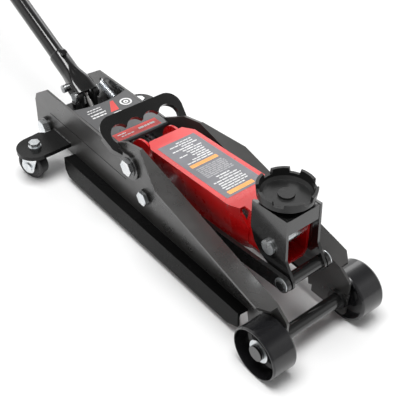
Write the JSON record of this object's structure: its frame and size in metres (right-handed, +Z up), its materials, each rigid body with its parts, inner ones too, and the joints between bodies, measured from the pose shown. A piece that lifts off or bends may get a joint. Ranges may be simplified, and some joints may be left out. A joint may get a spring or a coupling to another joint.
{
  "type": "hydraulic trolley jack",
  "caption": "Low wheeled hydraulic floor jack with a pivoting lift arm, swivelling saddle, carry bail, rear casters and a long pump handle.",
  "frame": {"origin": "point on the floor under the middle of the jack's overall box, handle included", "axes": "+X from the handle to the saddle, +Y to the jack's left, +Z up"},
  "size_m": [1.443, 0.281, 0.5312],
  "materials": {
    "black_paint": "gloss black enamel",
    "red_paint": "gloss red enamel",
    "cover_paint": "gloss dark grey enamel",
    "zinc": "bright zinc plate",
    "wheel_black": "polished black",
    "caster_black": "satin black",
    "cast_black": "black painted casting",
    "steel": "ground steel",
    "spring_steel": "zinc plated wire",
    "rubber": "moulded grip"
  },
  "bodies": {
    "frame": {"side_plate_right": "black_paint", "side_plate_left": "black_paint", "top_cover": "cover_paint", "rear_spacer_tube": "black_paint", "rear_frame_bolts": "zinc", "rear_frame_washers": "black_paint", "front_axle": "black_paint", "axle_collars": "black_paint", "wheel_washers": "zinc", "wheel_retainers": "black_paint", "power_unit_base": "cast_black", "reservoir_tube": "black_paint", "ram_cylinder": "steel", "cylinder_end_nut": "steel", "filler_plug": "zinc", "relief_valve_screw": "zinc", "arm_pivot_shaft": "black_paint", "arm_pivot_bolts": "zinc", "arm_pivot_washers": "black_paint", "link_bolts": "zinc", "link_bolt_nuts": "black_paint", "handle_pivot_bolts": "zinc", "carry_handle": "black_paint", "caster_bracket_right": "black_paint", "caster_bracket_left": "black_paint", "caster_bolts": "zinc", "arm_return_springs": "spring_steel", "handle_spring": "spring_steel"},
    "front_wheel_r": {"front_wheel_right": "wheel_black"},
    "front_wheel_l": {"front_wheel_left": "wheel_black"},
    "ram": {"ram_rod": "steel", "ram_yoke": "cast_black"},
    "release_valve": {"release_valve_spindle": "steel"},
    "plunger": {"pump_plunger": "steel"},
    "arm": {"lift_arm": "red_paint", "arm_pivot_tube": "red_paint", "crank_pin": "steel", "return_spring_pins": "steel"},
    "bracket": {"saddle_bracket": "black_paint", "bracket_pin": "zinc", "link_pin": "black_paint", "link_pin_clips": "zinc"},
    "links": {"link_bar_right": "black_paint", "link_bar_left": "black_paint"},
    "saddle": {"saddle": "cast_black", "saddle_stem": "steel"},
    "handle_base": {"handle_socket": "black_paint", "socket_side_bolts": "zinc", "handle_lock_screw": "black_paint"},
    "handle": {"handle_lower_tube": "black_paint", "handle_joint_sleeve": "black_paint", "handle_upper_tube": "black_paint", "handle_grip": "rubber", "release_drive_cup": "steel"},
    "caster_swivel_r": {"caster_fork_right": "zinc", "caster_axle_right": "zinc"},
    "caster_wheel_r": {"caster_wheel_right": "caster_black"},
    "caster_swivel_l": {"caster_fork_left": "zinc", "caster_axle_left": "zinc"},
    "caster_wheel_l": {"caster_wheel_left": "caster_black"}
  },
  "joints": [
    {"name": "arm_lift", "type": "hinge", "parent": "frame", "child": "arm", "pos_m": [0.3465, 0, 0.126], "axis": [0, -1, 0], "range_deg": [-20, 40], "deforming": ["arm_return_springs"]},
    {"name": "bracket_level", "type": "hinge", "parent": "arm", "child": "bracket", "pos_m": [0.6245, 0, 0.149], "axis": [0, -1, 0], "range_deg": [-40, 20]},
    {"name": "link_swing", "type": "hinge", "parent": "frame", "child": "links", "pos_m": [0.3825, 0, 0.089], "axis": [0, -1, 0], "range_deg": [-20, 40]},
    {"name": "saddle_spin", "type": "hinge", "parent": "bracket", "child": "saddle", "pos_m": [0.617, 0, 0.2105], "axis": [0, 0, 1], "continuous": true},
    {"name": "ram_slide", "type": "slide", "parent": "frame", "child": "ram", "axis": [1, 0, 0], "range_m": [-0.01676, 0.03352]},
    {"name": "handle_pump", "type": "hinge", "parent": "frame", "child": "handle_base", "pos_m": [0.1275, 0, 0.125], "axis": [0, 1, 0], "range_deg": [-15, 50]},
    {"name": "plunger_stroke", "type": "slide", "parent": "frame", "child": "plunger", "axis": [0, 0, 1], "range_m": [-0.00681, 0.0227]},
    {"name": "handle_twist", "type": "hinge", "parent": "handle_base", "child": "handle", "pos_m": [0.1275, 0, 0.125], "axis": [-0.9063, 0, 0.4226], "range_deg": [0, 180]},
    {"name": "release_turn", "type": "hinge", "parent": "frame", "child": "release_valve", "pos_m": [0.1275, 0, 0.125], "axis": [-0.6428, 0, 0.766], "range_deg": [0, 180]},
    {"name": "front_wheel_spin_r", "type": "hinge", "parent": "frame", "child": "front_wheel_r", "pos_m": [0.6815, -0.084, 0.04], "axis": [0, 1, 0], "continuous": true},
    {"name": "front_wheel_spin_l", "type": "hinge", "parent": "frame", "child": "front_wheel_l", "pos_m": [0.6815, 0.084, 0.04], "axis": [0, 1, 0], "continuous": true},
    {"name": "caster_swivel_r", "type": "hinge", "parent": "frame", "child": "caster_swivel_r", "pos_m": [0.1285, -0.109, 0.062], "axis": [0, 0, 1], "continuous": true},
    {"name": "caster_wheel_spin_r", "type": "hinge", "parent": "caster_swivel_r", "child": "caster_wheel_r", "pos_m": [0.12016, -0.11237, 0.0255], "axis": [-0.3746, 0.9272, 0], "continuous": true},
    {"name": "caster_swivel_l", "type": "hinge", "parent": "frame", "child": "caster_swivel_l", "pos_m": [0.1285, 0.109, 0.062], "axis": [0, 0, 1], "continuous": true},
    {"name": "caster_wheel_spin_l", "type": "hinge", "parent": "caster_swivel_l", "child": "caster_wheel_l", "pos_m": [0.12016, 0.11237, 0.0255], "axis": [0.3746, 0.9272, 0], "continuous": true}
  ],
  "couplings": [
    {"joint": "bracket_level", "follows": "arm_lift", "ratio": -1},
    {"joint": "link_swing", "follows": "arm_lift", "ratio": 1},
    {"joint": "ram_slide", "follows": "arm_lift", "m_per_rad": 0.048},
    {"joint": "plunger_stroke", "follows": "handle_pump", "m_per_rad": 0.026},
    {"joint": "release_turn", "follows": "handle_twist", "ratio": 1}
  ]
}
